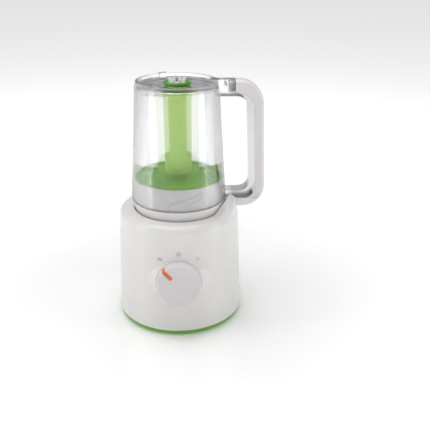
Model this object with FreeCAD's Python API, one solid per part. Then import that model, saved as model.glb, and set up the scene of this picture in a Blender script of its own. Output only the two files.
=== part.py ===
"""Countertop baby food maker: steams food in an inverted jar, then blends it in the same jar.

The model stands in its steaming position: the clear jar is mouth down, closed by its lid, and sits in
the seat on top of the base. Origin: centre of the base's footprint, on the surface it stands on.
+Z is up, the control knob faces -Y and the jar's handle points along +X. Millimetres.
"""

import FreeCAD, Part
import math
import os

# ---------------------------------------------------------------- driving dimensions
# Jar: the radii of the whole machine follow from its mouth
jar_mouth_radius = 61.2
jar_top_radius = 51.9
jar_height = 148.3            # mouth to rim
jar_crown = 8.0               # the taper ends this far below the rim
jar_wall = 2.4
jar_floor_recess = 3.5        # closed end sits this far below its rim
rim_inset = 1.3
rim_width = 3.2

# Lid and its fit in the jar
lid_band_inset = 4.2          # the band narrows by this much on its way into the seat
lid_plug_height = 27.6        # above the jar's mouth
lid_wall = 2.2
rib_depth = 0.8               # bayonet ribs stand this far inside the jar wall
rib_clearance = 0.2
lug_gap = 0.15                # lid lug to jar wall
seal_gap = 0.15               # jar mouth to lid
seal_height = 1.6
seal_side_gap = 0.15
seat_clearance = 1.0          # lid to the opening of the base
lid_tab_gap = 0.5             # lid's tab to the shoulder
handle_gap = 0.5              # handle's lower arm, below the jar's mouth
tab_gap = 0.4                 # lid's tab to the handle's lower arm
jar_stand = 13.2              # jar's mouth above the shoulder
lid_floor_drop = 3.5          # lid's floor below the shoulder

# Bayonet between jar and lid
bayonet_count = 3
rib_width = 1.3
ramp_start_deg = -101.3
ramp_end_deg = -59.3
ramp_start_height = 8.3       # above the jar's mouth
ramp_slope = 0.3024           # rise for each degree
groove_height = 6.2
entry_width_deg = 25.2
lug_width_deg = 5.0
lug_height = 3.6

# Base unit
shoulder_width = 18.9         # seat opening to the side
base_flare = 6.3              # the side leans out by this much on its way down
shoulder_round = 9.0
housing_wall = 2.6
housing_lift = 4.6            # housing's lower edge above the bottom plate
foot_height = 3.0
foot_width = 10.0
foot_peg_radius = 2.5
plate_thickness = 2.6
ring_width = 3.0              # inwards from the housing's wall
ring_drop = 2.0               # below the bottom plate
ring_inset = 1.6              # green trim ring stands back from the housing
screw_boss_radius = 4.6
screw_radius = 1.6

# Horn: raised cheek of the base beside the handle
horn_rise = 17.9
horn_top_round = 6.5
horn_top_slope = 4.0          # outer edge of the horn's top below the inner edge
horn_clearance = 4.0          # to the jar's mouth
horn_wall = 2.2
horn_face_gap = 1.0           # to the handle

# Jar seat tray inside the base
tray_wall = 2.4
deck_depth = 11.5             # below the shoulder
deck_thickness = 2.5
seat_ring_height = 3.0
seat_ring_inset = 7.7
seat_ring_width = 5.3
seat_gap = 0.1                # seat ring to lid
hook_count = 3
tray_ear_radius = 4.2
tray_ear_reach = 5.2
tray_ear_degrees = (40, 140, 230, 310)

# Motor
motor_shaft_radius = 3.0
stator_size = 62.0
stator_length = 26.0
stator_bore = 19.0
air_gap = 0.6
coil_height = 7.0
bolt_radius = 1.6
bracket_thickness = 3.0
fan_bottom_gap = 8.4          # fan above the bottom plate
fan_height = 10.0
fan_radius = 30.0
bearing_radius = 8.0
commutator_radius = 9.0
running_gap = 0.05

# Boiler
tank_height = 34.0
tank_side_gap = 5.3           # to the housing's wall
tank_motor_gap = 7.0
tank_deck_gap = 3.5
tank_wall = 1.6
tank_start_deg = 12.0
tank_sweep_deg = 156.0
neck_radius = 14.6
neck_wall = 3.6
neck_gap = 3.4                # to the collar round the drive coupling
cap_clearance = 0.4
cap_top_height = 1.6
gasket_height = 1.0
nozzle_seat = 1.6
nozzle_gap = 0.6              # steam nozzle to the lid's floor
element_radius = 3.4

# Blade unit
hub_top_radius = 17.5
hub_bottom_radius = 16.9
hub_wall = 2.0
hub_collar_radius = 18.6
hub_collar_height = 9.0
hub_gap = 1.5                 # hub to the blade carrier
hub_foot_gap = 6.0            # hub to the strainer
blade_tip_gap = 7.5           # blade to the jar's wall
blade_thickness = 1.4
carrier_body_radius = 11.8
carrier_depth = 4.6           # below the jar's closed end
carrier_ring_width = 4.7
carrier_ring_drop = 1.2       # below the jar's rim
blade_shaft_radius = 4.0
bush_wall = 2.5
coupling_radius = 11.0
coupling_gap = 0.6            # driven coupling to the carrier's ring
coupling_rise = 2.0           # driven coupling above the jar's rim
coupling_teeth = 8
collar_gap = 2.4              # drive coupling to the collar round it
collar_wall = 2.0

# Handle
handle_width = 22.0
handle_rise = 1.5             # above the jar's rim
handle_reach = 52.4           # from the jar's closed end to the outer face
handle_lean = 0.0424          # outward lean going down
handle_top_round = 30.0
handle_bottom_round = 27.0
handle_edge_round = 4.5
handle_depth = 20.0
clear_depth = 8.6             # clear inner strip of the handle's upright
clear_arm_depth = 4.6         # the same strip under the upper arm
clear_arm_length = 18.6       # clear part of the upper arm
tongue_length = 8.6
tongue_width = 14.0
tongue_gap = 0.2
snap_pin_radius = 1.2
snap_pin_inset = 1.8
snap_pin_height = 1.8         # above the tongue's lower face
grip_low_corner = 18.0        # the same round above the lower arm
grip_low_drop = 1.5           # how far that round runs past the foot, so that no thin edge is left
grip_corner = 22.0            # round of the grip's inner edge under the upper arm
arm_height = 19.0
lower_arm_height = 9.5
inner_round = 13.0
grip_clearance = 0.15

# Strainer
strainer_drop = 4.3           # plate below the lid's plug
strainer_thickness = 2.0
strainer_hole_radius = 1.15
strainer_fit = 0.3

# Control knob
knob_drop = 71.5              # below the shoulder
knob_radius = 26.7
knob_flare = 1.5
knob_depth = 12.2
knob_wall = 2.0
knob_rest_deg = 133.0         # pointer at the steam mark, counted from +X as seen from the front
spindle_radius = 3.0
boss_margin = 1.2
boss_flare = 16.6

# Interlock
pin_radius = 2.2
pin_clearance = 0.25
pin_gap = 0.25                # pin to the lid's tab
shelf_drop = 33.5             # spring's shelf below the shoulder

# Cord inlet
gland_height = 19.0           # above the foot
gland_bore = 3.6
gland_corner = 2.6            # corner round of the squared hole that holds the bush

# ---------------------------------------------------------------- what follows from them
# Heights, stacked up from the table
plate_top_z = foot_height + plate_thickness
housing_bottom_z = foot_height + housing_lift
fan_bottom_z = plate_top_z + fan_bottom_gap
lower_plate_z = fan_bottom_z + fan_height + 5.0
stator_bottom_z = lower_plate_z + bracket_thickness + coil_height + 1.0
stator_top_z = stator_bottom_z + stator_length
upper_plate_z = stator_top_z + coil_height + 15.0
tank_bottom_z = upper_plate_z + bracket_thickness + tank_motor_gap
tank_top_z = tank_bottom_z + tank_height
deck_top_z = tank_top_z + tank_deck_gap + deck_thickness
shoulder_z = deck_top_z + deck_depth
lid_floor_z = shoulder_z - lid_floor_drop
jar_mouth_z = shoulder_z + jar_stand
lid_top_z = jar_mouth_z + lid_plug_height
strainer_plate_z = lid_top_z - strainer_drop
ramp_start_z = jar_mouth_z + ramp_start_height
jar_rim_z = jar_mouth_z + jar_height
jar_taper_top_z = jar_rim_z - jar_crown
closed_end_top_z = jar_rim_z - jar_floor_recess
closed_end_z = closed_end_top_z - jar_wall
coupling_top_z = jar_rim_z + coupling_rise
hub_top_z = closed_end_z - carrier_depth - hub_gap
hub_collar_z = hub_top_z - hub_collar_height
hub_bottom_z = strainer_plate_z + strainer_thickness + hub_foot_gap
handle_top_z = jar_rim_z + handle_rise
arm_foot_z = jar_mouth_z - handle_gap
grip_end_z = arm_foot_z
tray_ear_z = deck_top_z - 1.5
tank_ear_z = tank_top_z - 5.0
tank_joint_z = tank_ear_z - 1.0          # where the tank's top is brazed to its bowl
shelf_z = shoulder_z - shelf_drop
knob_z = shoulder_z - knob_drop
gland_z = foot_height + gland_height

# Radii, outwards from the jar's mouth
lid_band_bottom_radius = jar_mouth_radius - lid_band_inset
seat_radius = lid_band_bottom_radius + seat_clearance
shoulder_radius = seat_radius + shoulder_width
base_bottom_radius = shoulder_radius + base_flare
lid_clearance = rib_depth + rib_clearance
seal_outer = jar_mouth_radius - 0.9
seat_ring_outer = seat_radius - seat_ring_inset
seat_ring_inner = seat_ring_outer - seat_ring_width
tray_ear_circle = seat_radius + tray_wall + tray_ear_reach
horn_inner_radius = jar_mouth_radius + horn_clearance
screw_boss_circle = base_bottom_radius - housing_wall - 8.6
foot_outer = screw_boss_circle - 8.0
foot_inner = foot_outer - foot_width
neck_y = coupling_radius + collar_gap + collar_wall + neck_gap + neck_radius + neck_wall
tank_inner_radius = neck_y - neck_radius - 0.4
tank_outer_radius = shoulder_radius - housing_wall - tank_side_gap
element_circle = (tank_inner_radius + tank_outer_radius) / 2
tank_ear_x = element_circle
tank_ear_y = tank_ear_x * math.tan(math.radians(tank_start_deg)) - 6.2
bolt_offset = stator_size / 2 - 5.5
isolator_x = fan_radius + 11.0
pin_x = seat_radius + tray_wall + 5.2
rim_radius = jar_top_radius - rim_inset
carrier_ring_radius = coupling_radius + coupling_gap + carrier_ring_width
blade_tip_radius = jar_top_radius - jar_wall - blade_tip_gap
handle_top_x = jar_top_radius + handle_reach
handle_root_x = jar_top_radius - 12.0
grip_start_x = jar_top_radius + clear_arm_length
knob_skirt_radius = knob_radius + knob_flare
boss_top_radius = knob_skirt_radius + boss_margin
boss_foot_radius = boss_top_radius + boss_flare

side_slope = (base_bottom_radius - shoulder_radius) / (shoulder_z - housing_bottom_z)
jar_slope = (jar_mouth_radius - jar_top_radius) / (jar_taper_top_z - jar_mouth_z)


# ---------------------------------------------------------------- geometry helpers
def vec(x, y, z):
    return FreeCAD.Vector(x, y, z)


def in_xz(u, v):
    return vec(u, 0, v)


def in_xy(u, v):
    return vec(u, v, 0)


def rounded_wire(corners, place):
    """Closed wire through (u, v) or (u, v, radius) corners; each radius becomes a tangent arc."""
    count = len(corners)
    spans = []
    for i, corner in enumerate(corners):
        here = vec(corner[0], corner[1], 0)
        before = vec(*corners[i - 1][:2], 0) - here
        after = vec(*corners[(i + 1) % count][:2], 0) - here
        radius = corner[2] if len(corner) > 2 else 0.0
        if not radius:
            spans.append((here, None, here))
            continue
        half = before.getAngle(after) / 2
        reach = radius / math.tan(half)
        depth = radius / math.sin(half) - radius
        middle = (before.normalize() + after.normalize()).normalize()
        spans.append((here + before * reach, here + middle * depth, here + after * reach))
    edges = []
    for i, (start, middle, end) in enumerate(spans):
        if middle is not None:
            arc = Part.Arc(place(start.x, start.y), place(middle.x, middle.y), place(end.x, end.y))
            edges.append(arc.toShape())
        following = spans[(i + 1) % count][0]
        if math.hypot(following.x - end.x, following.y - end.y) > 1e-6:
            edges.append(Part.LineSegment(place(end.x, end.y), place(following.x, following.y)).toShape())
    return Part.Wire(edges)


def turned(corners, sweep=360.0, start=0.0):
    """Solid of revolution about Z from (radius, z) corners."""
    face = Part.Face(rounded_wire(corners, in_xz))
    face.rotate(vec(0, 0, 0), vec(0, 0, 1), start)
    return face.revolve(vec(0, 0, 0), vec(0, 0, 1), sweep)


def slab(corners, y0, y1):
    """(x, z) outline extruded along Y."""
    face = Part.Face(rounded_wire(corners, in_xz))
    face.translate(vec(0, y0, 0))
    return face.extrude(vec(0, y1 - y0, 0))


def plate(corners, z0, z1):
    """(x, y) outline extruded along Z."""
    face = Part.Face(rounded_wire(corners, in_xy))
    face.translate(vec(0, 0, z0))
    return face.extrude(vec(0, 0, z1 - z0))


def rod(radius, z0, z1, x=0.0, y=0.0):
    return Part.makeCylinder(radius, z1 - z0, vec(x, y, z0))


def tube(outer, inner, z0, z1, x=0.0, y=0.0):
    return rod(outer, z0, z1, x, y).cut(rod(inner, z0 - 1, z1 + 1, x, y))


def block(x0, x1, y0, y1, z0, z1):
    return Part.makeBox(x1 - x0, y1 - y0, z1 - z0, vec(x0, y0, z0))


def spun(shape, degrees):
    turned_shape = shape.copy()
    turned_shape.rotate(vec(0, 0, 0), vec(0, 0, 1), degrees)
    return turned_shape


def around(shape, count, start=0.0):
    """Copies of shape, evenly spaced about Z."""
    return [spun(shape, start + 360.0 * i / count) for i in range(count)]


def moved(shape, x=0.0, y=0.0, z=0.0):
    shifted = shape.copy()
    shifted.translate(vec(x, y, z))
    return shifted


def square_ring_points(size, corner_radius):
    half = size / 2
    return [(-half, -half, corner_radius), (half, -half, corner_radius),
            (half, half, corner_radius), (-half, half, corner_radius)]


def polar(radius, degrees):
    return radius * math.cos(math.radians(degrees)), radius * math.sin(math.radians(degrees))


def side_radius(z):
    """Outer radius of the tapered base at height z."""
    return base_bottom_radius - (z - housing_bottom_z) * side_slope


def jar_radius(z):
    """Outer radius of the jar's tapered wall at height z."""
    return jar_mouth_radius - (z - jar_mouth_z) * jar_slope


def screw(z_head, z_tip, head_radius, shank_radius, x, y, head_down=True):
    """Machine screw with a domed head; the head points down unless head_down is False."""
    head_height = 0.75 * head_radius
    low, high = min(z_head, z_tip), max(z_head, z_tip)
    shank = rod(shank_radius, low, high, x, y)
    head_z = low - head_height if head_down else high
    head = rod(head_radius, head_z, head_z + head_height, x, y)
    slot_z = head_z if head_down else head_z + head_height - 0.8
    slot = block(x - head_radius, x + head_radius, y - 0.4, y + 0.4, slot_z, slot_z + 0.8)
    return shank.fuse(head).removeSplitter().cut(slot)


# ---------------------------------------------------------------- knob frame
knob_tilt = math.degrees(math.atan(side_slope))


def on_knob_axis(shape):
    """Moves a shape from the knob's own frame (axis +Z outwards, +Y up) to its place on the front wall."""
    placed = shape.copy()
    placed.rotate(vec(0, 0, 0), vec(1, 0, 0), 90.0 - knob_tilt)
    placed.translate(vec(0, -side_radius(knob_z), knob_z))
    return placed


# ---------------------------------------------------------------- base unit
def horn_section(degrees, rise, inset):
    """Radial section of the horn: inner face, narrow top and a long round out to the side."""
    share = max(rise, 0.0) / horn_rise
    top = shoulder_z + rise - inset
    inner_low = seat_radius + 0.05 + inset * 1.3
    inner_top = seat_radius + 0.05 + (horn_inner_radius - seat_radius) * share ** 1.3 + inset
    outer_low_z = shoulder_z - shoulder_round - 0.5
    outer_low = side_radius(outer_low_z) - 0.7 - inset
    outer_top = side_radius(top) - 0.15 - inset - 1.2 * share
    round_radius = shoulder_round - (shoulder_round - horn_top_round) * share - inset
    profile = rounded_wire([
        (inner_low, shoulder_z - 1.1 - (9.0 if inset else 0.0)),
        (inner_top, top, 0.9),
        (outer_top, top - horn_top_slope * share ** 3, round_radius),
        (outer_low, outer_low_z - (2.0 if inset else 0.0))], in_xz)
    profile.rotate(vec(0, 0, 0), vec(0, 0, 1), degrees)
    return profile


def horn_solid(inset):
    """Raised cheek beside the handle, swept up from the shoulder; inset shrinks it to hollow it out."""
    rises = [(-36.0, 0.17), (-32.0, 0.34), (-26.0, 0.58), (-20.0, 0.78), (-14.0, 1.0), (-6.0, 1.3)]
    if not inset:
        rises = [(-58.0, -0.05), (-50.0, -0.02), (-44.0, 0.015), (-40.0, 0.06)] + rises
    horn = Part.makeLoft([horn_section(a, r * horn_rise, inset) for a, r in rises], True, False)
    face_y = -(handle_width / 2 + horn_face_gap) - inset
    return horn.common(block(0, base_bottom_radius, -base_bottom_radius, face_y, 0, handle_top_z))


def housing():
    """Moulded outer shell: tapered side, rounded shoulder, horn, knob boss and screw bosses."""
    inner_bottom = base_bottom_radius - housing_wall
    inner_top = side_radius(shoulder_z - housing_wall) - housing_wall
    shell = turned([
        (seat_radius, shoulder_z - housing_wall),
        (seat_radius, shoulder_z, 1.0),
        (shoulder_radius, shoulder_z, shoulder_round),
        (base_bottom_radius, housing_bottom_z, 1.4),
        (inner_bottom, housing_bottom_z),
        (inner_top, shoulder_z - housing_wall, shoulder_round - housing_wall),
    ])
    shell = shell.fuse(horn_solid(0.0)).cut(horn_solid(horn_wall))
    mouth = on_knob_axis(Part.makeCylinder(boss_top_radius - 2.0, 16.0, vec(0, 0, -12.0)))
    shell = shell.cut(mouth)
    boss = turned([
        (spindle_radius + 3.2, 0.2), (boss_top_radius, 0.2, 0.7), (boss_top_radius + 1.3, -3.6, 9.0),
        (boss_foot_radius, -15.0), (boss_foot_radius - 1.6, -17.0),
        (boss_top_radius - 0.8, -6.2, 8.0), (boss_top_radius - 2.1, -2.2, 1.0), (spindle_radius + 3.2, -2.2)])
    shell = shell.fuse(on_knob_axis(boss))
    pillars = []
    for degrees in (45, 135, 225, 315):
        x, y = polar(screw_boss_circle, degrees)
        pillars.append(rod(screw_boss_radius, housing_bottom_z + 5.0, 34.0, x, y))
        web = block(screw_boss_circle, base_bottom_radius, -1.2, 1.2, housing_bottom_z + 5.0, 34.0)
        pillars.append(spun(web, degrees))
    keep = turned([(0, 0), (base_bottom_radius - 1.0, 0),
                   (shoulder_radius - 1.0, shoulder_z), (0, shoulder_z)])
    for pillar in pillars:
        shell = shell.fuse(pillar.common(keep))
    for degrees in (45, 135, 225, 315):
        x, y = polar(screw_boss_circle, degrees)
        shell = shell.cut(rod(screw_radius - 0.2, housing_bottom_z, 33.0, x, y))
    for degrees in tray_ear_degrees:
        x, y = polar(tray_ear_circle, degrees)
        shell = shell.fuse(rod(tray_ear_radius, tray_ear_z + 2.4, shoulder_z - housing_wall + 0.5, x, y))
        shell = shell.cut(rod(screw_radius - 0.2, tray_ear_z, shoulder_z - housing_wall - 0.5, x, y))
    guide = rod(pin_radius + 2.0, shoulder_z - 12.0, shoulder_z - 1.0, pin_x)
    shell = shell.fuse(guide)
    shell = shell.cut(rod(pin_radius + pin_clearance, shoulder_z - 14.0, shoulder_z + 4.0, pin_x))
    half = gland_bore + 2.5
    return shell.cut(slab([
        (-half, gland_z - half, gland_corner), (half, gland_z - half, gland_corner),
        (half, gland_z + half, gland_corner), (-half, gland_z + half, gland_corner)],
        base_bottom_radius - 10, base_bottom_radius + 10))


def trim_ring():
    """Green ring that closes the housing's lower edge."""
    outer = base_bottom_radius - ring_inset
    inner = base_bottom_radius - housing_wall - ring_width
    lip = base_bottom_radius - housing_wall - 0.4
    low = foot_height - ring_drop
    return turned([
        (inner, low), (outer - 1.2, low, 2.6), (outer, housing_bottom_z), (lip, housing_bottom_z),
        (lip - 0.3, housing_bottom_z + 4.0), (inner, housing_bottom_z + 4.0)])


def bottom_plate():
    radius = base_bottom_radius - housing_wall - ring_width - 0.2
    top = plate_top_z
    base = rod(radius, foot_height, top)
    base = base.fuse(tube(radius, radius - 2.2, top, top + 4.0)).removeSplitter()
    slots = []
    for ring_radius, count in ((14.0, 8), (21.0, 12), (28.0, 16)):
        slot = plate([(ring_radius - 2.2, -1.3, 1.2), (ring_radius + 2.2, -1.3, 1.2),
                      (ring_radius + 2.2, 1.3, 1.2), (ring_radius - 2.2, 1.3, 1.2)], foot_height - 1, top + 1)
        slots += around(slot, count)
    base = base.cut(Part.makeCompound(slots))
    for degrees in (45, 135, 225, 315):
        x, y = polar(screw_boss_circle, degrees)
        base = base.fuse(rod(4.6, top, housing_bottom_z + 5.0, x, y))
    base = base.cut(Part.makeCompound(foot_pegs(0.0, top + 2)))
    for sign in (-1, 1):
        base = base.fuse(tube(5.0, 1.4, top, lower_plate_z - 9.0, sign * isolator_x))
    return base


def bottom_plate_holes(base):
    holes = []
    for degrees in (45, 135, 225, 315):
        x, y = polar(screw_boss_circle, degrees)
        holes.append(rod(screw_radius + 0.15, 0, 20, x, y))
    return base.cut(Part.makeCompound(holes))


def foot_pegs(grow, top):
    """Pegs that hold the foot ring in the bottom plate; grow widens them to cut their holes."""
    circle = (foot_outer + foot_inner) / 2
    return around(rod(foot_peg_radius + grow, foot_height - 0.5, top, circle), 6, 15.0)


def foot_ring():
    """One-piece rubber ring that the base stands on."""
    ring = turned([(foot_inner, 0, 0.7), (foot_outer, 0, 0.7),
                   (foot_outer, foot_height), (foot_inner, foot_height)])
    for peg in foot_pegs(0.0, foot_height + plate_thickness + 0.6):
        ring = ring.fuse(peg)
    return ring


def housing_screws():
    screws = []
    for degrees in (45, 135, 225, 315):
        x, y = polar(screw_boss_circle, degrees)
        screws.append(screw(foot_height, 24.0, 3.0, screw_radius - 0.2, x, y))
    return Part.makeCompound(screws)


def seat_tray():
    """White well under the opening: wall, deck, ring that the lid stands on, and hooks for blending."""
    outer = seat_radius + tray_wall
    wall_top = shoulder_z - housing_wall
    deck_bottom = deck_top_z - deck_thickness
    tray = turned([
        (0, deck_bottom), (outer, deck_bottom, 1.5), (outer, wall_top),
        (seat_radius, wall_top), (seat_radius, deck_top_z, 1.5), (0, deck_top_z)])
    ring = tube(seat_ring_outer, seat_ring_inner, deck_top_z - 0.5, deck_top_z + seat_ring_height)
    tray = tray.fuse(ring)
    hook = turned([
        (seat_ring_outer + 1.4, deck_top_z + 5.4, 0.8), (seat_radius + 0.5, deck_top_z + 5.4),
        (seat_radius + 0.5, deck_top_z + 8.0), (seat_ring_outer + 1.4, deck_top_z + 8.0, 0.8)],
        sweep=22.0, start=19.0)
    for copy in around(hook, hook_count):
        tray = tray.fuse(copy)
    notch = turned([(seat_ring_inner - 1, deck_top_z + 0.8), (seat_ring_outer + 1, deck_top_z + 0.8),
                    (seat_ring_outer + 1, deck_top_z + 8), (seat_ring_inner - 1, deck_top_z + 8)],
                   sweep=20.0, start=50.0)
    tray = tray.cut(Part.makeCompound(around(notch, 3)))
    collar_bore = coupling_radius + collar_gap
    tray = tray.fuse(tube(collar_bore + collar_wall, collar_bore, deck_bottom - 4.0, deck_top_z + 1.2))
    tray = tray.cut(rod(collar_bore, deck_bottom - 6, deck_top_z + 6))
    tray = tray.cut(rod(neck_radius + neck_wall + 0.3, deck_bottom - 2, deck_top_z + 9, 0, neck_y))
    for sign in (-1, 1):
        post = tube(4.2, screw_radius - 0.2, tank_ear_z + 2.4, deck_bottom + 0.5,
                    sign * tank_ear_x, tank_ear_y)
        tray = tray.fuse(post)
    for degrees in tray_ear_degrees:
        ear = rod(tray_ear_radius, tray_ear_z, tray_ear_z + 2.4, tray_ear_circle)
        ear = ear.fuse(block(seat_radius + 1.0, tray_ear_circle, -tray_ear_radius, tray_ear_radius,
                             tray_ear_z, tray_ear_z + 2.4))
        ear = ear.cut(rod(screw_radius + 0.15, 0, shoulder_z, tray_ear_circle))
        ear = ear.cut(rod(seat_radius + 0.5, 0, shoulder_z))
        tray = tray.fuse(spun(ear, degrees))
    return tray


def tray_screws():
    screws = []
    for degrees in tray_ear_degrees:
        x, y = polar(tray_ear_circle, degrees)
        screws.append(screw(tray_ear_z, shoulder_z - housing_wall - 0.5, 3.0, screw_radius - 0.2, x, y))
    return Part.makeCompound(screws)


def cord_gland():
    """Bush in the back wall that the supply cord passes through."""
    outer_y = side_radius(gland_z) + 1.6
    inner_y = side_radius(gland_z) - 9.0
    profile = Part.Face(rounded_wire([
        (gland_bore, inner_y), (gland_bore + 2.3, inner_y, 0.5), (gland_bore + 2.3, outer_y - 1.8),
        (gland_bore + 4.6, outer_y - 1.8), (gland_bore + 4.6, outer_y, 0.9), (gland_bore, outer_y)],
        lambda u, v: vec(u, v, 0)))
    bush = profile.revolve(vec(0, 0, 0), vec(0, 1, 0), 360.0)
    bush.translate(vec(0, 0, gland_z))
    wall = turned([(0, housing_bottom_z), (base_bottom_radius, housing_bottom_z),
                   (shoulder_radius, shoulder_z), (0, shoulder_z)])
    inside = Part.makeCylinder(gland_bore + 2.3, 30.0, vec(0, inner_y, gland_z), vec(0, 1, 0))
    return bush.cut(wall.cut(inside).common(block(-20, 20, 50, 100, 0, 60)))


def cord_clamp():
    """Internal bar that grips the cord behind the gland."""
    y = side_radius(gland_z) - 16.0
    top = foot_height + plate_thickness
    bar = block(-13, 13, y - 3.5, y + 3.5, top, gland_z + gland_bore + 4.0)
    bar = bar.cut(Part.makeCylinder(gland_bore, 30, vec(0, y - 15, gland_z), vec(0, 1, 0)))
    return bar.cut(block(-8, 8, y - 10, y + 10, top - 1, gland_z - gland_bore - 4.0))


# ---------------------------------------------------------------- motor
def bolt_holes(radius):
    return Part.makeCompound([rod(radius, 0, 130, sx * bolt_offset, sy * bolt_offset)
                              for sx in (-1, 1) for sy in (-1, 1)])


def stator():
    core = plate(square_ring_points(stator_size, 12.0), stator_bottom_z, stator_top_z)
    core = core.cut(rod(stator_bore, 0, 130))
    for sign in (-1, 1):
        slot = turned([(stator_bore - 1, stator_bottom_z - 1), (stator_bore + 8.0, stator_bottom_z - 1),
                       (stator_bore + 8.0, stator_top_z + 1), (stator_bore - 1, stator_top_z + 1)],
                      sweep=22.0, start=sign * 90.0 - 11.0)
        core = core.cut(slot)
    return core.cut(bolt_holes(bolt_radius + 0.15))


def field_coils():
    turns = []
    inner, outer = stator_bore + 0.8, stator_bore + 8.4
    for start in (-52.0, 128.0):
        for z0, z1 in ((stator_bottom_z - coil_height, stator_bottom_z),
                       (stator_top_z, stator_top_z + coil_height)):
            turns.append(turned([(inner, z0, 1.6), (outer, z0, 1.6), (outer, z1), (inner, z1)],
                                sweep=104.0, start=start))
    return Part.makeCompound(turns)


def armature():
    """Rotor core with its winding heads."""
    radius = stator_bore - air_gap
    head = radius - 3.0
    body = turned([
        (motor_shaft_radius, stator_bottom_z - coil_height), (head - 0.4, stator_bottom_z - coil_height, 3.0),
        (head, stator_bottom_z), (radius, stator_bottom_z), (radius, stator_top_z), (head, stator_top_z),
        (head - 1.4, stator_top_z + coil_height + 1.0, 4.0),
        (motor_shaft_radius, stator_top_z + coil_height + 1.0)])
    slots = around(block(radius - 2.2, radius + 1, -0.7, 0.7, stator_bottom_z - 1, stator_top_z + 1), 12)
    return body.cut(Part.makeCompound(slots))


def commutator():
    body = tube(commutator_radius, motor_shaft_radius, stator_top_z + coil_height + 2.5, upper_plate_z - 2.5)
    gaps = around(block(commutator_radius - 0.8, commutator_radius + 1, -0.25, 0.25,
                        stator_top_z + coil_height + 3.5, upper_plate_z), 18)
    return body.cut(Part.makeCompound(gaps))


def motor_shaft():
    return rod(motor_shaft_radius, fan_bottom_z - 1.0, deck_top_z - 3.0)


def motor_bracket(z0, inner_pillar_z):
    """Plate with a bearing seat and four pillars that reach to inner_pillar_z."""
    z1 = z0 + bracket_thickness
    frame = plate(square_ring_points(stator_size - 2, 9.0), z0, z1)
    for sx in (-1, 1):
        frame = frame.cut(rod(stator_size / 2 - 21.5, z0 - 1, z1 + 1, sx * (bearing_radius + 12.8), 0))
    low, high = min(z0, inner_pillar_z), max(z1, inner_pillar_z)
    for sx in (-1, 1):
        for sy in (-1, 1):
            frame = frame.fuse(rod(4.2, low, high, sx * bolt_offset, sy * bolt_offset))
    seat_low, seat_high = (z0, z0 + 7.0) if inner_pillar_z < z0 else (z0 - 4.0, z1)
    seat = rod(bearing_radius + 2.4, seat_low, seat_high)
    frame = frame.fuse(seat).cut(rod(bearing_radius, z0 - 10, z0 + 12))
    return frame.cut(bolt_holes(bolt_radius + 0.15))


def upper_bracket():
    return motor_bracket(upper_plate_z, stator_top_z)


def lower_bracket():
    frame = motor_bracket(lower_plate_z, stator_bottom_z)
    for sx in (-1, 1):
        ear = block(min(sx * 28, sx * (isolator_x + 7)), max(sx * 28, sx * (isolator_x + 7)), -8, 8,
                    lower_plate_z, lower_plate_z + bracket_thickness)
        frame = frame.fuse(ear).cut(rod(1.8, 0, 60, sx * isolator_x))
    return frame


def bearings():
    upper = tube(bearing_radius, motor_shaft_radius + running_gap, upper_plate_z, upper_plate_z + 6.0)
    lower = tube(bearing_radius, motor_shaft_radius + running_gap, lower_plate_z - 3.5, lower_plate_z + 2.5)
    return Part.makeCompound([upper, lower])


def motor_bolts():
    top = upper_plate_z + bracket_thickness
    return Part.makeCompound([
        screw(lower_plate_z, top + 3.0, 3.0, bolt_radius, sx * bolt_offset, sy * bolt_offset)
        for sx in (-1, 1) for sy in (-1, 1)])


def motor_isolators():
    """Rubber bushes between the motor and the bottom plate."""
    return Part.makeCompound([
        tube(6.0, 1.9, lower_plate_z - 9.0, lower_plate_z, sx * isolator_x) for sx in (-1, 1)])


def isolator_screws():
    top = lower_plate_z + bracket_thickness
    return Part.makeCompound([
        screw(top, top - 16.0, 3.4, 1.4, sx * isolator_x, 0, head_down=False) for sx in (-1, 1)])


def cooling_fan():
    top = fan_bottom_z + fan_height
    hub = tube(9.0, motor_shaft_radius, fan_bottom_z, top)
    fan = hub.fuse(tube(fan_radius - 6.0, 8.0, top - 1.6, top))
    for vane in around(block(8.0, fan_radius, -0.7, 0.7, fan_bottom_z, top - 1.0), 9):
        fan = fan.fuse(vane)
    return fan


def brush_block(side, inner, outer, half_width, inset):
    """Box on the commutator's height, from inner to outer on one side of the shaft."""
    x0, x1 = sorted((side * inner, side * outer))
    return block(x0, x1, -half_width, half_width,
                 stator_top_z + coil_height + 4.0 + inset, upper_plate_z - inset)


def brush_holders():
    return Part.makeCompound([
        brush_block(side, commutator_radius + 2.0, stator_size / 2 - 4.0, 5.0, 0.0).cut(
            brush_block(side, 0.0, stator_size, 3.1, 1.4)) for side in (-1, 1)])


def carbon_brushes():
    return Part.makeCompound([
        brush_block(side, commutator_radius + 0.3, commutator_radius + 10.0, 3.0, 1.5) for side in (-1, 1)])


def dog_ring(z0, z1, tooth_z0, outer, inner, bore):
    """Ring whose upper edge is cut into coupling_teeth dogs, with a bored web below them."""
    ring = tube(outer, inner, z0, z1)
    gap_deg = 360.0 / coupling_teeth / 2
    gap = turned([(inner - 1, tooth_z0), (outer + 1, tooth_z0), (outer + 1, z1 + 1), (inner - 1, z1 + 1)],
                 sweep=gap_deg + 1.5, start=-(gap_deg + 1.5) / 2)
    ring = ring.cut(Part.makeCompound(around(gap, coupling_teeth)))
    return ring.fuse(tube(inner + 0.5, bore, z0, z0 + 2.2)).removeSplitter()


def drive_coupling():
    """Base half of the dog clutch that turns the blade when the jar is the other way up."""
    top = deck_top_z + 2.6
    ring = dog_ring(top - 11.0, top, top - 4.4, coupling_radius, coupling_radius - 3.6, motor_shaft_radius)
    return ring.fuse(tube(6.0, motor_shaft_radius, top - 11.0, top - 6.0)).removeSplitter()


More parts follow.
